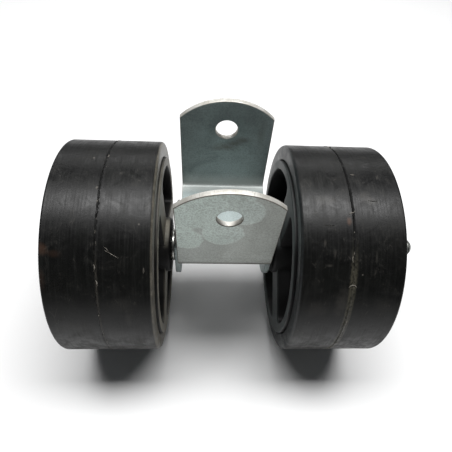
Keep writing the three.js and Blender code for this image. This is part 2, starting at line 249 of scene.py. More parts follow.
def finished(name, bm, materials, body, node, sharp=32):
    """Makes the piece from a mesh in millimetres and puts it on its body in place of the CAD node."""
    bmesh.ops.recalc_face_normals(bm, faces=bm.faces)
    bm.transform(Matrix.Scale(MM, 4))
    for face in bm.faces:
        face.smooth = True
    for edge in bm.edges:
        if len(edge.link_faces) == 2 and edge.calc_face_angle(0) > math.radians(sharp):
            edge.smooth = False
    mesh = bpy.data.meshes.new(name)
    bm.to_mesh(mesh)
    bm.free()
    for material in materials:
        mesh.materials.append(material)
    piece = bpy.data.objects.new(name, mesh)
    bpy.context.scene.collection.objects.link(piece)
    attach(piece, body)
    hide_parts(node)
    return piece


def offset(loop, distance):
    """A closed path of (u, v) points, moved outward by that distance. The path runs anticlockwise."""
    moved = []
    for i, here in enumerate(loop):
        along = (loop[(i + 1) % len(loop)] - loop[i - 1]).normalized()
        moved.append(here + Vector((along.y, -along.x)) * distance)
    return moved


def edge_rows(thickness, size, steps=4, guard=0.3):
    """(inset from the wall, depth) of each row round a plate's edge, from one face to the other."""
    quarter = []
    for k in range(steps + 1):
        t = 0.5 * math.pi * k / steps
        quarter.append((size * (1 - math.sin(t)), thickness / 2 - size * (1 - math.cos(t))))
    quarter.insert(0, (size + guard, thickness / 2))
    return quarter + [(inset, -depth) for inset, depth in reversed(quarter)]


def ring_edges(ring):
    """The edges between neighbouring vertices of a closed ring."""
    found = []
    for i, v in enumerate(ring):
        other = ring[(i + 1) % len(ring)]
        found += [e for e in v.link_edges if e.other_vert(v) is other]
    return found


def plate(bm, outer, holes, thickness, size):
    """A flat plate in (u, v) with w as its thickness. Every edge is rounded."""
    rows = edge_rows(thickness, size)
    first, last = [], []
    for loop, outward in [(outer, -1)] + [(hole, 1) for hole in holes]:
        rings = []
        for inset, depth in rows:
            moved = offset(loop, outward * inset)
            rings.append([bm.verts.new((p.x, p.y, depth)) for p in moved])
        skin(bm, rings[:2], closed=False)
        skin(bm, rings[1:-1], closed=False, paint=1)
        skin(bm, rings[-2:], closed=False)
        first += ring_edges(rings[0])
        last += ring_edges(rings[-1])
    for edges in (first, last):
        bmesh.ops.triangle_fill(bm, use_beauty=True, use_dissolve=False, edges=edges, normal=(0, 0, 1))


def circle(u, v, radius, steps, start=0.0, sweep=2 * math.pi):
    """Points of a circle, or of an arc of one, anticlockwise."""
    full = abs(sweep) >= 2 * math.pi
    last = steps if full else steps - 1
    return [Vector((u + radius * math.cos(start + sweep * i / last),
                    v + radius * math.sin(start + sweep * i / last))) for i in range(steps)]


def cut_across(bm, positions):
    """Adds a line of vertices across the plate at each v, so that it can bend there."""
    for v in positions:
        geometry = bm.verts[:] + bm.edges[:] + bm.faces[:]
        bmesh.ops.bisect_plane(bm, geom=geometry, dist=1e-4, plane_co=(0, v, 0), plane_no=(0, 1, 0))


def bend_to_channel(bm, outside, lean, put):
    """Bends a flat plate into a U. put(u, across, up) places a point of the section."""
    flat = outside - BEND_OUTSIDE
    turn_angle = math.pi / 2 - lean
    arc = BEND_MIDDLE * turn_angle
    cuts = []
    for k in range(13):
        cuts.append(flat + arc * k / 12)
    cuts += [flat - 0.4, flat + arc + 0.4]
    cut_across(bm, cuts + [-v for v in cuts] + [0])
    for vert in bm.verts:
        u, v, w = vert.co
        side = 1 if v >= 0 else -1
        v = abs(v)
        if v <= flat:
            across, up = v, PLATE / 2 + w
        else:
            angle = min((v - flat) / BEND_MIDDLE, turn_angle)
            rest = max(0.0, v - flat - arc)
            reach = BEND_MIDDLE - w
            across = flat + reach * math.sin(angle) + rest * math.sin(lean)
            up = BEND_OUTSIDE - reach * math.cos(angle) + rest * math.cos(lean)
        vert.co = put(u, side * across, up)


# ---------- bracket ----------


def saddle(materials):
    """The U that the gate's rail sits in, from its flat blank."""
    half = SADDLE_WIDTH / 2
    flat = SADDLE_OUTSIDE - BEND_OUTSIDE
    arm_start = flat + BEND_MIDDLE * (math.pi / 2 - EAR_LEAN)
    foot = BEND_OUTSIDE - PLATE - BEND_MIDDLE * math.sin(EAR_LEAN)

    def along(height):
        return arm_start + (height - foot) / math.cos(EAR_LEAN)

    rise = along(EAR_APEX) - along(EAR_CORNER)
    arch = (half * half + rise * rise) / (2 * rise)
    spread = math.asin(half / arch)
    top = along(EAR_APEX) - arch
    upper = circle(0, top, arch, 49, math.pi / 2 - spread, 2 * spread)
    lower = circle(0, -top, arch, 49, -math.pi / 2 - spread, 2 * spread)
    left = [Vector((-half, v)) for v in SADDLE_SIDE]
    right = [Vector((half, v)) for v in reversed(SADDLE_SIDE)]
    outer = upper + left + lower + right
    holes = [circle(0, s * along(EAR_HOLE_HEIGHT), EAR_HOLE_RADIUS, 64) for s in (-1, 1)]
    bm = bmesh.new()
    plate(bm, outer, holes, PLATE, SHEARED_EDGE)
    bend_to_channel(bm, SADDLE_OUTSIDE, EAR_LEAN, lambda u, across, up: Vector((u, across, up - PLATE)))
    finished("saddle", bm, materials, "carrier", "saddle_bracket")


def yoke(materials):
    """The upside-down U under the saddle, which the axle passes through."""
    half = YOKE_WIDTH / 2
    arm_start = YOKE_OUTSIDE - BEND_OUTSIDE + BEND_MIDDLE * math.pi / 2
    centre = arm_start + (YOKE_TOP - AXLE_Z) - BEND_OUTSIDE
    upper = circle(0, centre, half, 49, 0, math.pi)
    lower = circle(0, -centre, half, 49, math.pi, math.pi)
    left = [Vector((-half, v)) for v in YOKE_SIDE]
    right = [Vector((half, v)) for v in reversed(YOKE_SIDE)]
    outer = upper + left + lower + right
    holes = [circle(0, s * centre, YOKE_HOLE_RADIUS, 48) for s in (-1, 1)]
    bm = bmesh.new()
    plate(bm, outer, holes, PLATE, SHEARED_EDGE)

    def put(u, across, up):
        return Vector((across + YOKE_SHIFT, u, YOKE_TOP - up))

    bend_to_channel(bm, YOKE_OUTSIDE, 0.0, put)
    finished("yoke", bm, materials, "carrier", "axle_yoke")


def weld(name, side, material):
    """A rippled fillet weld along the saddle's edge, lying on the yoke's shoulder."""
    edge = SADDLE_WIDTH / 2 + 0.3
    shoulder = YOKE_OUTSIDE + side * YOKE_SHIFT
    middle_x, middle_z = edge + 1.5, -2.9
    rings = []
    bm = bmesh.new()
    stations = 150
    for i in range(stations + 1):
        y = WELD_LENGTH * (i / stations - 0.5)
        end = min(1.0, (WELD_LENGTH / 2 - abs(y)) / 2.2)
        swell = 0.25 + 0.75 * math.sqrt(max(0.0, 1 - (1 - end) ** 2))
        ring = []
        for j in range(24):
            angle = 2 * math.pi * j / 24
            phase = (y + 0.9 * math.cos(angle - 0.9)) / WELD_RIPPLE_PITCH
            ripple = 1 + 0.16 * abs(math.sin(math.pi * phase))
            ripple += 0.10 * noise.noise(Vector((y * 0.35, angle, side)))
            x = middle_x + WELD_HALF_WIDTH * swell * ripple * math.cos(angle)
            z = middle_z + WELD_HALF_HEIGHT * swell * ripple * math.sin(angle)
            x = max(x, edge)
            over = max(0.0, x - (shoulder - BEND_OUTSIDE))
            floor = YOKE_TOP - BEND_OUTSIDE + math.sqrt(max(0.0, BEND_OUTSIDE ** 2 - over ** 2))
            ring.append(bm.verts.new((side * x, y, max(z, floor + 0.15))))
        rings.append(ring)
    skin(bm, rings, closed=False)
    bm.faces.new(rings[0])
    bm.faces.new(rings[-1])
    node = "weld_left" if side < 0 else "weld_right"
    finished(name, bm, [material], "carrier", node, 50)


# ---------- axle ----------


def hex_radius(angle):
    """Distance from the middle of a hexagon to its edge, with a corner at angle 0."""
    return HEX_APOTHEM / math.cos((angle % (math.pi / 3)) - math.pi / 6)


def hex_rows(x0, x1, chamfer0, chamfer1):
    """(x, largest radius) rows of a hexagonal prism whose corners are turned off at its ends."""
    corner = HEX_APOTHEM / math.cos(math.pi / 6)
    rows = []
    for k in range(9):
        t = k / 8
        rows.append((x0 + chamfer0 * t, HEX_APOTHEM - 0.15 + (corner - HEX_APOTHEM + 0.2) * t))
    for k in range(9):
        t = k / 8
        rows.append((x1 - chamfer1 * (1 - t), corner + 0.05 - (corner - HEX_APOTHEM + 0.2) * t))
    return rows


def within_hex(x, radius, angle):
    return x, min(radius, hex_radius(angle) - 0.04)


def bolt(material):
    """Hex bolt: head on the left, plain shank, and a cut thread at the right end."""
    low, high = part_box("axle_bolt")
    left, tip = 1000 * low.x, 1000 * high.x
    under = left + HEAD_THICKNESS
    thread_start = tip - THREAD_LENGTH
    rows = [(left + 0.25, HEX_APOTHEM - 1.6), (left + 0.02, HEX_APOTHEM - 0.9),
            (left, HEX_APOTHEM - 0.5)]
    rows += hex_rows(left + 0.1, under - 0.5, 1.5, 0.4)
    rows += [(under - 0.45, HEX_APOTHEM - 0.7), (under, HEX_APOTHEM - 0.8), (under, BOLT_RADIUS + 0.35),
             (under + 0.15, BOLT_RADIUS + 0.1), (under + 0.45, BOLT_RADIUS)]
    plain = [(under + (thread_start - under) * k / 12, BOLT_RADIUS) for k in range(1, 13)]
    turns = int(THREAD_LENGTH / THREAD_PITCH * 12)
    threaded = [(thread_start + THREAD_LENGTH * k / turns, BOLT_RADIUS) for k in range(1, turns + 1)]

    def shape(x, radius, angle):
        if x < under - 0.5:
            return within_hex(x, radius, angle)
        if x <= thread_start:
            return x, radius
        turned = (x / THREAD_PITCH - angle / (2 * math.pi)) % 1.0
        cut = THREAD_DEPTH * min(1.0, max(0.0, 1.25 - 2.5 * abs(turned - 0.5)))
        fade = min(1.0, (x - thread_start) / 3.0)
        core = BOLT_RADIUS - POINT_DEPTH
        point = core + (tip - x) * 0.95
        return x, min(radius - cut * fade, max(point, core))

    bm = bmesh.new()
    turn(bm, rows + plain + threaded, 72, shape, closed=False)
    finished("bolt", bm, [material], "axle", "axle_bolt", 40)


def nut(material):
    """Lock nut: hexagon, round collar, and the seat that holds the nylon ring."""
    low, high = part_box("lock_nut")
    start, end = 1000 * low.x, 1000 * high.x
    hex_end = start + NUT_HEX_LENGTH
    rows = [(start + 0.35, NUT_BORE), (start, NUT_BORE + 0.5), (start, HEX_APOTHEM - 0.7)]
    rows += hex_rows(start + 0.05, hex_end, 1.3, 1.5)
    rows += [(hex_end, NUT_COLLAR_RADIUS + 0.3), (hex_end + 0.3, NUT_COLLAR_RADIUS),
             (end - 1.2, NUT_COLLAR_RADIUS), (end - 0.5, NUT_COLLAR_RADIUS - 0.25),
             (end - 0.1, NUT_COLLAR_RADIUS - 0.75), (end, NUT_COLLAR_RADIUS - 1.1),
             (end - 0.15, NUT_MOUTH_RADIUS), (end - 0.6, NUT_MOUTH_RADIUS),
             (end - 0.6, NUT_SEAT_RADIUS), (hex_end, NUT_SEAT_RADIUS), (hex_end, NUT_BORE)]
    bm = bmesh.new()
    turn(bm, rows, 72, within_hex)
    finished("nut", bm, [material], "axle", "lock_nut", 40)


def turned_ring(name, node, inside, edge, material, body, dish=0.0):
    """A ring that fills its CAD node's box, with rounded edges and faces uneven by about dish."""
    low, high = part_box(node)
    outside = 500 * (high.z - low.z)
    x0, x1 = 1000 * low.x, 1000 * high.x
    corners = [(x0, inside, edge), (x0, outside, edge), (x1, outside, edge), (x1, inside, edge)]
    path = rounded(corners)
    bm = bmesh.new()

    def shape(x, radius, angle):
        uneven = noise.noise(Vector((radius * 0.2, 2 * math.cos(angle), 2 * math.sin(angle))))
        inset = max(0.0, dish * (0.5 + uneven))
        return x + (inset if x < (x0 + x1) / 2 else -inset), radius

    turn(bm, [tuple(p) for p in path], 96, shape)
    finished(name, bm, [material], body, node)


# ---------- wheels ----------


def ragged(angle, x, wheel, pace):
    """Noise between 0 and 1 that closes on itself round the wheel."""
    place = Vector((pace * math.cos(angle), pace * math.sin(angle), 7.3 * wheel + 0.3 * x))
    return 0.5 + 0.5 * noise.noise(place)


def sliver(bm, wheel, points, width, height, tread, paint):
    """A torn scrap of flash lying along (x, degrees) points on the tread, thin at both ends."""
    rings = []
    for k, (x, degrees) in enumerate(points):
        size = 0.3 + 0.7 * math.sin(math.pi * k / (len(points) - 1))
        before, after = points[max(0, k - 1)], points[min(len(points) - 1, k + 1)]
        along = Vector((after[0] - before[0], tread * math.radians(after[1] - before[1]))).normalized()
        step_x, step_angle = -along.y * width * size, along.x * width * size / tread
        angle = math.radians(degrees)
        rings.append([bm.verts.new(about_axle(wheel * (x + step_x), tread - 0.3, angle + step_angle)),
                      bm.verts.new(about_axle(wheel * (x - step_x), tread - 0.3, angle - step_angle)),
                      bm.verts.new(about_axle(wheel * x, tread + height * size, angle))])
    skin(bm, rings, closed=False, paint=paint)
    for end in (rings[0], rings[-1]):
        bm.faces.new(end).material_index = paint


def scrap(x, degrees, length, tilt, bow, tread):
    """Points (x, degrees) along a scrap of that length on the tread, bowed to one side."""
    points = []
    for k in range(5):
        t = k / 4 - 0.5
        along, aside = length * t, length * bow * (1 - 4 * t * t)
        round_tread = along * math.sin(tilt) + aside * math.cos(tilt)
        points.append((x + along * math.cos(tilt) - aside * math.sin(tilt),
                       degrees + math.degrees(round_tread / tread)))
    return points


def flash_bits(bm, side, wheel, seam, tread):
    """The torn scraps that stand along the seam: the large ones that show, then small ones all round."""
    for off_seam, degrees, length, tilt, bow, width in TORN_FLASH[side]:
        points = scrap(seam + off_seam, degrees, length, math.radians(tilt), bow, tread)
        sliver(bm, wheel, points, width, SEAM_PROUD - 0.05, tread, 1)
    for i in range(SMALL_SCRAPS):
        degrees = random.uniform(0, 360)
        x = seam + random.uniform(-0.9, 0.9)
        length = random.uniform(0.6, 2.2) / 1.33
        drift = random.uniform(-0.5, 0.5)
        points = [(x, degrees), (x + drift * 0.5, degrees + length / 2), (x + drift, degrees + length)]
        width = random.uniform(0.2, 0.45)
        height = random.uniform(0.15, SEAM_PROUD - 0.08)
        sliver(bm, wheel, points, width, height, tread, 1 if i % 4 == 0 else 0)


def tyre(side, materials):
    """Rubber tyre with rounded shoulders and a ragged moulding seam round the middle of the tread."""
    wheel = -1 if side == "left" else 1
    low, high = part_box("tyre_" + side)
    near, far = sorted((abs(1000 * low.x), abs(1000 * high.x)))
    top = 500 * (high.z - low.z)
    tread = top - SEAM_PROUD
    seam = (near + far) / 2
    profile = rounded([
        (near + 1.6, TYRE_INSIDE, 0), (near + 0.5, TYRE_INSIDE + 0.2, 0.4), (near, TYRE_INSIDE + 1.5, 0.5),
        (near, tread, TYRE_SHOULDER), (far, tread, OUTER_SHOULDER),
        (far, TYRE_INSIDE + 1.5, 0.5), (far - 0.5, TYRE_INSIDE + 0.2, 0.4), (far - 1.6, TYRE_INSIDE, 0),
    ], closed=False, steps=8)
    flat = near + TYRE_SHOULDER + 1
    across = [flat + (seam - 3 - flat) * k / 9 for k in range(10)]
    seam_steps = [-2.2, -1.5, -1.0, -0.7, -0.45, -0.2, 0.0, 0.2, 0.45, 0.7, 1.0, 1.5, 2.2]
    middle = across + [seam + d for d in seam_steps] + [2 * seam - x for x in reversed(across)]
    split = max(i for i, p in enumerate(profile) if p[0] < seam and p[1] > tread - 0.01) + 1
    path = [tuple(p) for p in profile[:split]] + [(x, tread) for x in middle]
    path += [tuple(p) for p in profile[split:]]

    def shape(x, radius, angle):
        if radius > tread - 0.02:
            radius -= 0.12 * ragged(angle, x * 0.25, wheel, 3.0)
        from_seam = x - seam
        if abs(from_seam) < SEAM_ZONE:
            bits = ragged(angle, 0, wheel, 34.0)
            long_bits = ragged(angle, 0, wheel, 9.0)
            height = SEAM_PROUD * (0.15 + 0.35 * long_bits + 0.9 * max(0.0, bits - 0.52) * 2)
            ridge = max(0.0, 1 - abs(from_seam - 0.1) / 0.55)
            groove = max(0.0, 1 - abs(from_seam + 0.55 * wheel) / 0.42)
            radius += min(SEAM_PROUD, height) * ridge
            radius -= 0.55 * groove * (0.4 + 0.6 * ragged(angle, 5, wheel, 20.0))
            x += 0.5 * (ragged(angle, 9, wheel, 5.0) - 0.5)
            x += 0.35 * (ragged(angle, 3, wheel, 40.0) - 0.5)
        return wheel * x, min(radius, top)

    bm = bmesh.new()
    turn(bm, path, TYRE_STEPS, shape)
    flash_bits(bm, side, wheel, seam, tread)
    finished("tyre_" + side + "_moulded", bm, materials, side + "_wheel", "tyre_" + side)


def pocket(middle):
    """Outline of the opening between two spokes, in (Y, Z) about the axle."""
    half_gap = math.pi / SPOKES
    half_spoke = SPOKE_WIDTH / 2
    foot = HUB_RADIUS - 0.5
    at_rim = half_gap - math.asin(half_spoke / RIM_INSIDE)
    at_hub = half_gap - math.asin(half_spoke / foot)

    def at(radius, angle):
        return Vector((radius * math.cos(angle), radius * math.sin(angle)))

    def bend(a, corner, b):
        steps = [k / 10 for k in range(11)]
        return [a.lerp(corner, t).lerp(corner.lerp(b, t), t) for t in steps]

    def side(hub, rim, outward):
        """Points up a spoke's straight side, between its two roundings."""
        straight = (rim - hub).length - root - fillet
        return [hub + outward * (root + straight * k / 6) for k in range(1, 6)]

    rim_a, rim_b = at(RIM_INSIDE, middle - at_rim), at(RIM_INSIDE, middle + at_rim)
    hub_a, hub_b = at(foot, middle - at_hub), at(foot, middle + at_hub)
    outward_a = (rim_a - hub_a).normalized()
    outward_b = (rim_b - hub_b).normalized()
    fillet, root = 7.0, 4.0
    turn_rim, turn_root = fillet / RIM_INSIDE, root / foot
    points = bend(at(foot, middle - at_hub + turn_root), hub_a, hub_a + outward_a * root)
    points += side(hub_a, rim_a, outward_a)
    points += bend(rim_a - outward_a * fillet, rim_a, at(RIM_INSIDE, middle - at_rim + turn_rim))
    sweep = 2 * (at_rim - turn_rim)
    points += circle(0, 0, RIM_INSIDE, 50, middle - at_rim + turn_rim, sweep)[1:-1]
    points += bend(at(RIM_INSIDE, middle + at_rim - turn_rim), rim_b, rim_b - outward_b * fillet)
    points += reversed(side(hub_b, rim_b, outward_b))
    points += bend(hub_b + outward_b * root, hub_b, at(foot, middle + at_hub - turn_root))
    sweep = 2 * (at_hub - turn_root)
    points += circle(0, 0, foot, 9, middle + at_hub - turn_root, -sweep)[1:-1]
    return points


def joined(bm, other):
    """Leaves in bm the union of two closed solids."""
    made = []
    for part in (bm, other):
        bmesh.ops.recalc_face_normals(part, faces=part.faces)
        mesh = bpy.data.meshes.new("part")
        part.to_mesh(mesh)
        piece = bpy.data.objects.new("part", mesh)
        bpy.context.scene.collection.objects.link(piece)
        made.append(piece)
    union = made[0].modifiers.new("union", "BOOLEAN")
    union.operation = "UNION"
    union.solver = "EXACT"
    union.object = made[1]
    evaluated = made[0].evaluated_get(bpy.context.evaluated_depsgraph_get())
    bm.clear()
    bm.from_mesh(evaluated.to_mesh())
    evaluated.to_mesh_clear()
    other.free()
    for piece in made:
        mesh = piece.data
        bpy.data.objects.remove(piece)
        bpy.data.meshes.remove(mesh)


def wheel_core(side, material):
    """Rim, spokes and hub, moulded in one piece."""
    wheel = -1 if side == "left" else 1
    low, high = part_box("wheel_core_" + side)
    hub_near, hub_far = sorted((abs(1000 * low.x), abs(1000 * high.x)))
    tyre_low, tyre_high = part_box("tyre_" + side)
    near, far = sorted((abs(1000 * tyre_low.x), abs(1000 * tyre_high.x)))
    half = (far - near) / 2 + CORE_PROUD
    middle = (near + far) / 2
    inner_ring = 60.6
    hub_opening = 16
    bm = bmesh.new()

    # the rim's outside
    corner = [(-half, inner_ring, 0), (-half, RIM_RADIUS, RIM_EDGE), (-half + 2, RIM_RADIUS, 0)]
    profile = [tuple(p) for p in rounded(corner, closed=False)]
    profile += [(-x, r) for x, r in reversed(profile)]
    rings = []
    for x, radius in profile:
        points = circle(0, 0, radius, 192)
        rings.append([bm.verts.new((x, p.x, p.y)) for p in points])
    skin(bm, rings, closed=False)
    first, last = ring_edges(rings[0]), ring_edges(rings[-1])

    # the openings between the spokes, and the hole that the hub fills
    rows = edge_rows(2 * half, POCKET_EDGE)
    loops = [pocket(FIRST_SPOKE_ANGLE + (2 * i + 1) * math.pi / SPOKES) for i in range(SPOKES)]
    for loop in loops:
        rings = []
        for inset, depth in rows:
            rings.append([bm.verts.new((-depth, p.x, p.y)) for p in offset(loop, inset)])
        skin(bm, rings, closed=False)
        first += ring_edges(rings[0])
        last += ring_edges(rings[-1])
    inside = []
    for x in (-half, half):
        inside.append([bm.verts.new((x, p.x, p.y)) for p in circle(0, 0, hub_opening, 48)])
    skin(bm, inside, closed=False)
    first += ring_edges(inside[0])
    last += ring_edges(inside[1])
    for edges in (first, last):
        bmesh.ops.triangle_fill(bm, use_beauty=True, use_dissolve=False, edges=edges, normal=(1, 0, 0))
    bmesh.ops.recalc_face_normals(bm, faces=bm.faces)
    for vert in bm.verts:
        vert.co = Vector((wheel * (vert.co.x + middle), vert.co.y, vert.co.z + AXLE_Z))

    # the hub is its own closed solid, then joined on
    hub = bmesh.new()
    section = rounded([
        (hub_near, HUB_BORE, 0.6), (hub_near, HUB_RADIUS, 2.6), (hub_far, HUB_RADIUS, 2.6),
        (hub_far, HUB_BORE, 0.6),
    ], steps=6)
    turn(hub, [(wheel * p.x, p.y) for p in section], 128)
    bmesh.ops.recalc_face_normals(hub, faces=hub.faces)
    joined(bm, hub)
    finished("core_" + side, bm, [material], side + "_wheel", "wheel_core_" + side)


# ---------- materials ----------


class Surface:
    """A material being wired up. Each method adds a node and returns the socket that comes out of it."""

    def __init__(self, name):
        self.material = bpy.data.materials.new(name)
        self.material.use_nodes = True
        self.nodes = self.material.node_tree.nodes
        self.links = self.material.node_tree.links
        self.shader = self.nodes["Principled BSDF"]
        self.place = self.nodes.new("ShaderNodeTexCoord").outputs["Object"]

    def give(self, socket, value):
        if isinstance(value, bpy.types.NodeSocket):
            self.links.new(value, socket)
        elif isinstance(value, tuple) and len(value) == 3 and socket.type == "RGBA":
            socket.default_value = (*value, 1)
        else:
            socket.default_value = value

    def scaled(self, scale, turn=(0, 0, 0), move=(0, 0, 0)):
        node = self.nodes.new("ShaderNodeMapping")
        self.give(node.inputs["Vector"], self.place)
        node.inputs["Scale"].default_value = scale
        node.inputs["Rotation"].default_value = turn
        node.inputs["Location"].default_value = move
        return node.outputs["Vector"]

    def noise(self, scale, detail=3.0, rough=0.55, vector=None, distortion=0.0):
        node = self.nodes.new("ShaderNodeTexNoise")
        self.give(node.inputs["Vector"], vector or self.place)
        node.inputs["Scale"].default_value = scale
        node.inputs["Detail"].default_value = detail
        node.inputs["Roughness"].default_value = rough
        node.inputs["Distortion"].default_value = distortion
        return node.outputs["Fac"]

    def cells(self, scale, vector=None, feature="F1"):
        node = self.nodes.new("ShaderNodeTexVoronoi")
        node.feature = feature
        self.give(node.inputs["Vector"], vector or self.place)
        node.inputs["Scale"].default_value = scale
        return node.outputs["Distance"]

    def math(self, operation, a, b=0.0):
        node = self.nodes.new("ShaderNodeMath")
        node.operation = operation
        self.give(node.inputs[0], a)
        self.give(node.inputs[1], b)
        return node.outputs[0]

    def times(self, a, *others):
        for b in others:
            a = self.math("MULTIPLY", a, b)
        return a

    def between(self, value, low, high, to_low=0.0, to_high=1.0):
        """Goes smoothly from to_low to to_high as the value goes from low to high."""
        node = self.nodes.new("ShaderNodeMapRange")
        node.interpolation_type = "SMOOTHSTEP"
        self.give(node.inputs["Value"], value)
        node.inputs["From Min"].default_value = low
        node.inputs["From Max"].default_value = high
        node.inputs["To Min"].default_value = to_low
        node.inputs["To Max"].default_value = to_high
        return node.outputs["Result"]

    def axis(self, letter):
        node = self.nodes.new("ShaderNodeSeparateXYZ")
        self.give(node.inputs[0], self.place)
        return node.outputs[letter]

    def facing(self, letter):
        """How far the surface faces along an axis of the piece, from -1 to 1."""
        node = self.nodes.new("ShaderNodeSeparateXYZ")
        self.give(node.inputs[0], self.nodes["Texture Coordinate"].outputs["Normal"])
        return node.outputs[letter]

    def blend(self, amount, a, b):
        node = self.nodes.new("ShaderNodeMix")
        node.data_type = "RGBA"
        self.give(node.inputs[0], amount)
        self.give(node.inputs[6], a)
        self.give(node.inputs[7], b)
        return node.outputs[2]

    def distance(self, scale, point):
        """How far the surface is from a point, both scaled."""
        node = self.nodes.new("ShaderNodeVectorMath")
        node.operation = "DISTANCE"
        self.give(node.inputs[0], self.scaled(scale))
        node.inputs[1].default_value = point
        return node.outputs["Value"]

    def spot(self, x, y, z, size, soft=0.5, wobble=0.0, wobble_scale=200.0):
        """1 within about size of the point and 0 beyond it, in millimetres. size is one number or three."""
        sizes = size if isinstance(size, tuple) else (size,) * 3
        scale = tuple(1000 / s for s in sizes)
        far = self.distance(scale, (x / sizes[0], y / sizes[1], z / sizes[2]))
        if wobble:
            uneven = self.math("SUBTRACT", self.noise(wobble_scale, 4.0, 0.6), 0.5)
            far = self.math("ADD", far, self.math("MULTIPLY", uneven, wobble))
        return self.between(far, 1.0, 1.0 - soft)

    def bump(self, height, strength, distance, under=None):
        node = self.nodes.new("ShaderNodeBump")
        node.inputs["Strength"].default_value = strength
        node.inputs["Distance"].default_value = distance * MM
        self.give(node.inputs["Height"], height)
        if under is not None:
            self.give(node.inputs["Normal"], under)
        return node.outputs["Normal"]

    def set(self, **sockets):
        for socket, value in sockets.items():
            self.give(self.shader.inputs[socket.replace("_", " ")], value)
        return self.material


def zinc(name, with_stains_and_painted_light):
    """Bright zinc plate: fine grain, cloudy passivation and a few dark specks."""
    s = Surface(name)
    cloud = s.noise(38.0, 5.0, 0.6, distortion=0.6)
    grain = s.noise(1050.0, 4.0, 0.7)
    speck = s.cells(420.0)
    colour = s.blend(s.between(cloud, 0.35, 0.68), (0.325, 0.375, 0.372), (0.445, 0.515, 0.512))
    colour = s.blend(s.between(grain, 0.34, 0.62, 0.5, 0.0), colour, (0.20, 0.22, 0.21))
    dark = s.times(s.between(speck, 0.11, 0.05), s.between(s.noise(150.0), 0.56, 0.64))
    colour = s.blend(s.times(dark, 0.75), colour, (0.07, 0.065, 0.055))
    rough = s.between(cloud, 0.3, 0.7, 0.60, 0.50)
    if with_stains_and_painted_light:
        colour, rough = saddle_stains_and_painted_light(s, colour, rough, grain)
    normal = s.bump(grain, 0.22, 0.05)
    normal = s.bump(s.noise(90.0, 4.0, 0.6), 0.25, 0.25, normal)
    return s.set(Base_Color=colour, Metallic=0.60, Roughness=rough, Normal=normal)


def out_of_front(s):
    """How far forward a point is along the front ear's normal, in metres."""
    lean = s.times(s.axis("Z"), math.tan(EAR_LEAN))
    return s.math("SUBTRACT", s.times(s.axis("Y"), -1.0), lean)


def saddle_stains_and_painted_light(s, colour, rough, grain):
    """The saddle's stains and painted light: water marks and a painted lightening on the front ear, the
    rear ear's smudge, band and painted highlight at its foot, and painted shade under the front bend.
    """
    colour, rough = water_marks_and_painted_light(s, colour, rough, grain)
    colour = rear_ear_stains_and_highlight(s, colour)
    # painted shade: the underside of the front bend is darkened brown where its shadow falls
    under = s.times(s.between(s.axis("Z"), 0.0042, 0.0010), s.between(s.axis("Y"), -0.030, -0.0335))
    return s.blend(s.times(under, 0.85), colour, (0.085, 0.075, 0.058)), rough


def water_marks_and_painted_light(s, colour, rough, grain):
    """Pale water marks on the front ear, strongest on its left, and a warmer tone outside them; the whole
    front face is also painted paler, as painted light.
    """
    front = s.between(out_of_front(s), *FRONT_FACE)
    pale = None
    for x, z, size in EAR_MARKS:
        far = s.distance((1000, 0, 1000), (x, 0, z))
        uneven = s.times(s.math("SUBTRACT", s.noise(130.0, 5.0, 0.7), 0.5), 4.4)
        inside = s.math("SUBTRACT", size, s.math("ADD", far, uneven))
        pale = inside if pale is None else s.math("MAXIMUM", pale, inside)
    inside = s.times(s.between(pale, -0.9, 0.9), front)
    rim = s.times(s.between(pale, -0.5, 0.2), s.between(pale, 1.3, 0.4), front)
    warm = s.times(s.math("SUBTRACT", 1.0, inside), front)
    left = s.between(s.axis("X"), 0.025, -0.03)
    warmth = s.between(left, 0.0, 1.0, 0.42, 0.22)
    paleness = s.between(left, 0.0, 1.0, 0.45, 0.90)
    # painted light: the whole front face is made paler than the rest of the zinc, for the light it catches
    colour = s.blend(s.times(front, 0.5), colour, (0.66, 0.68, 0.64))
    colour = s.blend(s.times(warm, warmth), colour, (0.285, 0.285, 0.25))
    colour = s.blend(s.times(inside, paleness), colour, (0.72, 0.81, 0.76))
    colour = s.blend(s.times(rim, 0.15), colour, (0.85, 0.90, 0.85))
    speckle = s.between(grain, 0.36, 0.60, 0.42, 0.0)
    colour = s.blend(s.times(front, speckle), colour, (0.20, 0.205, 0.185))
    return colour, s.math("ADD", rough, s.times(inside, 0.10))


def rear_ear_stains_and_highlight(s, colour):
    """The brown smudge under the rear ear's hole, a band by its right edge, and a painted highlight along
    its foot.
    """
    rear = s.between(s.axis("Y"), *REAR_FACE)
    smudge = None
    for x, z, size in EAR_SMUDGE:
        spot = s.spot(x, 34.0, z, (size * 2.3, 20.0, size), 1.0, 0.8, 90.0)
        smudge = spot if smudge is None else s.math("MAXIMUM", smudge, spot)
    colour = s.blend(s.times(smudge, s.times(rear, 0.5)), colour, (0.14, 0.11, 0.075))
    band = s.times(s.spot(23.0, 34.0, 47.0, (3.6, 20.0, 15.0), 1.0, 0.6, 90.0), rear)
    colour = s.blend(s.times(band, 0.35), colour, (0.19, 0.19, 0.145))
    # painted highlight: a pale band across the rear ear's foot, where the bend catches the overhead light
    foot = s.times(s.between(s.axis("Z"), 0.014, 0.003), s.between(s.axis("Y"), 0.024, 0.030))
    return s.blend(s.times(foot, 0.5), colour, (0.78, 0.80, 0.77))


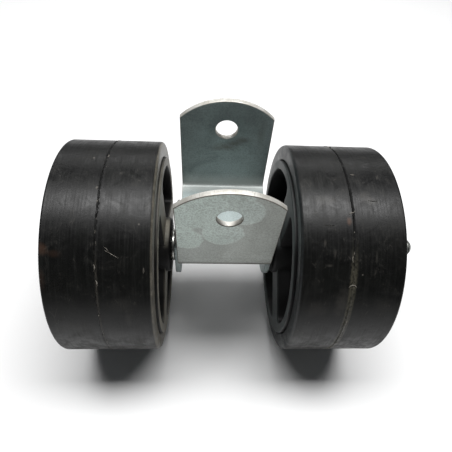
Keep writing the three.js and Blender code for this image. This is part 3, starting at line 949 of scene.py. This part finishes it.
def sheared_edge():
    """The saddle's cut edges: brighter and slightly warm, with torn streaks and a dark front outline."""
    s = Surface("zinc_sheared_edge")
    streak = s.noise(1.0, 4.0, 0.7, s.scaled((1500, 220, 220)))
    cloud = s.noise(160.0, 4.0, 0.6)
    colour = s.blend(s.between(cloud, 0.35, 0.65), (0.52, 0.50, 0.45), (0.68, 0.67, 0.63))
    colour = s.blend(s.between(streak, 0.52, 0.72, 0.0, 0.6), colour, (0.30, 0.28, 0.24))
    outline = s.between(out_of_front(s), 0.0358, 0.0362, 0.0, 0.85)
    colour = s.blend(outline, colour, (0.10, 0.09, 0.075))
    return s.set(Base_Color=colour, Metallic=0.55, Roughness=s.between(streak, 0.3, 0.7, 0.38, 0.55),
                 Normal=s.bump(streak, 0.3, 0.06))


def weld_metal():
    s = Surface("weld_metal")
    heat = s.noise(300.0, 4.0, 0.6)
    grit = s.noise(2200.0, 2.0)
    colour = s.blend(s.between(heat, 0.35, 0.65), (0.17, 0.165, 0.155), (0.36, 0.37, 0.355))
    return s.set(Base_Color=colour, Metallic=0.8, Roughness=s.between(grit, 0.3, 0.7, 0.42, 0.62),
                 Normal=s.bump(grit, 0.35, 0.06))


def steel(name, light, dark, rough=(0.24, 0.4)):
    """Zinc-plated fastener steel with turning marks round the axle."""
    s = Surface(name)
    turned = s.noise(1.0, 3.0, 0.7, s.scaled((3000, 160, 160)))
    cloud = s.noise(180.0, 4.0, 0.6)
    colour = s.blend(s.between(cloud, 0.35, 0.65), dark, light)
    colour = s.blend(s.between(turned, 0.45, 0.7, 0.0, 0.3), colour, (0.20, 0.20, 0.185))
    return s.set(Base_Color=colour, Metallic=0.9, Roughness=s.between(cloud, 0.3, 0.7, *rough),
                 Normal=s.bump(turned, 0.2, 0.03))


def on_tread(x, angle, radius=75.9):
    point = about_axle(x, radius, math.radians(angle))
    return point.x, point.y, point.z


def rubber(side):
    """Worn black tyre rubber: circular rubbing marks, dust, scuffs, patches of painted highlight, and a
    dusty moulding seam with a painted shade line along its groove.
    """
    wheel = -1 if side == "left" else 1
    s = Surface("rubber_" + side)
    tone = s.noise(24.0, 5.0, 0.6, s.scaled((1, 1, 1), move=(0.3 * wheel, 0, 0)), 0.4)
    streak = s.noise(1.0, 4.0, 0.65, s.scaled((900, 26, 26), move=(wheel, 0, 0)))
    fine = s.noise(900.0, 4.0, 0.65)
    blotch = s.noise(120.0, 5.0, 0.7, distortion=0.8)

    colour = s.blend(s.between(tone, 0.35, 0.65), (0.0016, 0.0016, 0.0017), (0.0044, 0.0046, 0.0041))
    colour = s.blend(s.between(streak, 0.5, 0.75, 0.0, 0.28), colour, (0.0148, 0.0150, 0.0132))
    colour = s.blend(s.between(blotch, 0.52, 0.75, 0.0, 0.42), colour, (0.0150, 0.0150, 0.0125))

    # fine scratches round the tread, in patches
    cracks = s.cells(1.0, s.scaled((420, 60, 60), turn=(0.3, 0.12, 0)), "DISTANCE_TO_EDGE")
    scratch = s.between(cracks, 0.03, 0.0)
    scratch = s.times(scratch, s.between(blotch, 0.5, 0.62))
    colour = s.blend(s.times(scratch, 0.5), colour, (0.045, 0.041, 0.036))

    # dust low down on the tread, and on the side wall that faces the bracket
    low = s.between(s.axis("Z"), -0.012, -0.050)
    dust = s.times(low, s.between(blotch, 0.35, 0.7, 0.15, 1.0))
    colour = s.blend(s.times(dust, 0.34), colour, (0.033, 0.032, 0.025))
    wall = s.between(s.math("ABSOLUTE", s.axis("X")), 0.0447, 0.0438)
    wall = s.times(wall, s.between(blotch, 0.35, 0.7, 0.45, 1.0))
    wall_dust = (0.135, 0.124, 0.099) if side == "left" else (0.020, 0.023, 0.024)
    colour = s.blend(wall, colour, wall_dust)

    for x, angle, size, tint, amount in TREAD_MARKS[side]:
        mark = s.spot(*on_tread(x, angle), size, 0.9, 0.9, 260.0)
        colour = s.blend(s.times(mark, amount), colour, tint)

    # the seam: a dark line on the upper part, which is painted shade in the seam's groove, and a pale
    # ragged band of dust lower down
    off_seam = s.math("ABSOLUTE", s.math("SUBTRACT", s.axis("X"), wheel * SEAM_X * MM))
    broken = s.noise(1.0, 4.0, 0.7, s.scaled((500, 420, 420)))
    ragged_edge = s.times(s.math("SUBTRACT", broken, 0.5), 0.0030)
    off_seam = s.math("ADD", off_seam, ragged_edge)
    band = 0.0027 if side == "right" else 0.0009
    lower = s.between(s.axis("Z"), 0.036, 0.018)
    pale = s.times(s.between(off_seam, band, band * 0.5), lower)
    pale = s.times(pale, s.between(broken, 0.36, 0.58, 0.25, 0.9))
    band_dust = (0.060, 0.056, 0.041) if side == "right" else (0.040, 0.036, 0.030)
    colour = s.blend(pale, colour, band_dust)
    # painted shade: the dark line in the seam's groove on the upper tread
    dark = s.times(s.between(off_seam, 0.0006, 0.0002), s.math("SUBTRACT", 1.0, lower))
    colour = s.blend(dark, colour, (0.0008, 0.0008, 0.0008))
    rough = s.between(blotch, 0.3, 0.75, 0.35, 0.50)
    rough = s.math("ADD", rough, s.between(streak, 0.4, 0.7, -0.04, 0.06))
    rough = s.math("ADD", rough, s.times(dust, 0.25))
    rough = s.math("ADD", rough, s.times(dark, 0.4))

    normal = s.bump(fine, 0.3, 0.06)
    normal = s.bump(streak, 0.25, 0.10, normal)
    normal = s.bump(blotch, 0.35, 0.22, normal)
    return s.set(Base_Color=colour, Roughness=rough, Normal=normal, Specular_IOR_Level=0.26)


def chalky_rubber():
    """Torn bits of moulding flash, rubbed grey."""
    s = Surface("rubber_flash")
    cloud = s.noise(600.0, 3.0)
    colour = s.blend(s.between(cloud, 0.35, 0.65), (0.12, 0.110, 0.094), (0.30, 0.280, 0.245))
    return s.set(Base_Color=colour, Roughness=0.75, Normal=s.bump(cloud, 0.3, 0.05), Specular_IOR_Level=0.3)


def core_plastic(side):
    """Moulded black plastic with a dusty film on its faces and lips; away from the faces it stays almost
    black, a painted shade for the pockets.
    """
    s = Surface("core_plastic_" + side)
    film = s.noise(70.0, 5.0, 0.65, distortion=0.5)
    grit = s.noise(1400.0, 3.0)
    dusty = (0.185, 0.172, 0.140) if side == "left" else (0.062, 0.071, 0.070)
    # painted shade: the dust film is kept to the faces, so the plastic deeper in the pockets stays almost
    # black
    from_face = s.math("ABSOLUTE", s.math("SUBTRACT", s.math("ABSOLUTE", s.axis("X")), SEAM_X * MM))
    on_face = s.between(from_face, 0.0318, 0.0334)
    flat = s.between(s.math("ABSOLUTE", s.facing("X")), 0.4, 0.9)
    flat = s.times(flat, s.between(from_face, 0.0350, 0.0342))
    upward = s.between(s.facing("Z"), 0.70, 1.0)
    dust_outside_painted_shade = s.times(on_face, s.math("MAXIMUM", flat, upward))
    dust = s.times(s.between(film, 0.25, 0.7, 0.35, 1.0), s.math("ADD", 0.015, dust_outside_painted_shade))
    # the near-black colour is painted shade in the pockets; the dusty colour is the dust on the faces
    colour = s.blend(dust, (0.0018, 0.0018, 0.0019), dusty)
    return s.set(Base_Color=colour, Roughness=s.between(film, 0.3, 0.7, 0.45, 0.65),
                 Normal=s.bump(grit, 0.25, 0.05), Specular_IOR_Level=0.28)


def bronze():
    s = Surface("bronze")
    pores = s.cells(2600.0)
    cloud = s.noise(200.0, 4.0)
    colour = s.blend(s.between(cloud, 0.35, 0.65), (0.30, 0.19, 0.085), (0.44, 0.29, 0.14))
    colour = s.blend(s.between(pores, 0.22, 0.10, 0.0, 0.7), colour, (0.10, 0.065, 0.03))
    return s.set(Base_Color=colour, Metallic=0.9, Roughness=s.between(cloud, 0.3, 0.7, 0.32, 0.48),
                 Normal=s.bump(pores, 0.2, 0.04))


def nylon():
    s = Surface("nylon")
    cloud = s.noise(300.0, 3.0)
    colour = s.blend(s.between(cloud, 0.3, 0.7), (0.62, 0.64, 0.65), (0.74, 0.76, 0.77))
    return s.set(Base_Color=colour, Roughness=s.between(cloud, 0.3, 0.7, 0.38, 0.5),
                 Normal=s.bump(s.noise(1500.0), 0.15, 0.03), Specular_IOR_Level=0.5)


def pale_floor():
    s = Surface("pale_floor")
    cloud = s.noise(1.5, 3.0)
    colour = s.blend(cloud, (0.90, 0.90, 0.90), (0.92, 0.92, 0.92))
    return s.set(Base_Color=colour, Roughness=0.9)


# ---------- studio ----------


def studio():
    """Pale floor, soft light from overhead and a little behind, and the camera."""
    bm = bmesh.new()
    bmesh.ops.create_grid(bm, x_segments=8, y_segments=8, size=FLOOR_HALF)
    bm.transform(Matrix.Translation((0, 0, FLOOR_Z * MM)))
    mesh = bpy.data.meshes.new("floor")
    bm.to_mesh(mesh)
    bm.free()
    mesh.materials.append(pale_floor())
    floor = bpy.data.objects.new("floor", mesh)
    bpy.context.scene.collection.objects.link(floor)

    for name, place, size, power in LIGHTS:
        light = bpy.data.lights.new(name, "AREA")
        light.shape = "RECTANGLE"
        light.size, light.size_y = size
        light.energy = power
        lamp = bpy.data.objects.new(name, light)
        lamp.location = place
        lamp.rotation_euler = (-math.atan2(place[1], place[2] - AXLE_Z * MM), 0, 0)
        bpy.context.scene.collection.objects.link(lamp)

    world = bpy.data.worlds.new("studio")
    world.use_nodes = True
    background = world.node_tree.nodes["Background"]
    background.inputs["Color"].default_value = (0.93, 0.97, 1.0, 1)
    seen = world.node_tree.nodes.new("ShaderNodeMapRange")
    seen.inputs["To Min"].default_value = WORLD_LIGHT
    seen.inputs["To Max"].default_value = WORLD_SEEN
    path = world.node_tree.nodes.new("ShaderNodeLightPath")
    world.node_tree.links.new(path.outputs["Is Camera Ray"], seen.inputs["Value"])
    world.node_tree.links.new(seen.outputs["Result"], background.inputs["Strength"])
    bpy.context.scene.world = world
    bpy.context.scene.view_settings.view_transform = "Standard"

    data = bpy.data.cameras.new("camera")
    data.lens, data.sensor_width = CAMERA_LENS, 36.0
    data.clip_start = 0.01
    camera = bpy.data.objects.new("camera", data)
    camera.location = CAMERA_PLACE
    camera.rotation_euler = [math.radians(a) for a in CAMERA_ANGLES]
    bpy.context.scene.collection.objects.link(camera)
    bpy.context.scene.camera = camera


# ---------- assembly ----------

random.seed(4)
zinc_saddle = zinc("zinc_saddle", True)
zinc_yoke = zinc("zinc_yoke", False)
fastener = steel("fastener_steel_bolt", (0.30, 0.31, 0.29), (0.17, 0.175, 0.165), (0.42, 0.58))
washer_steel = steel("fastener_steel_washer", (0.66, 0.66, 0.62), (0.50, 0.50, 0.47))
weld_material = weld_metal()
bush_material = bronze()
flash_rubber = chalky_rubber()

saddle([zinc_saddle, sheared_edge()])
yoke([zinc_yoke, zinc_yoke])
weld("weld_bead_left", -1, weld_material)
weld("weld_bead_right", 1, weld_material)
bolt(fastener)
nut(steel("fastener_steel_nut", (0.46, 0.47, 0.45), (0.32, 0.33, 0.31), (0.32, 0.46)))
turned_ring("nylon_insert", "lock_nut_nylon_ring", NUT_BORE, 0.3, nylon(), "axle")
for side in ("left", "right"):
    body = side + "_wheel"
    for end in ("inner", "outer"):
        washer = "washer_" + end + "_" + side
        bush = "bush_" + end + "_" + side
        turned_ring(washer + "_steel", washer, WASHER_BORE, 0.35, washer_steel, "axle",
                    dish=0.04)
        turned_ring(bush + "_bronze", bush, BUSH_BORE, 0.6, bush_material, body)
    tyre(side, [rubber(side), flash_rubber])
    wheel_core(side, core_plastic(side))

studio()
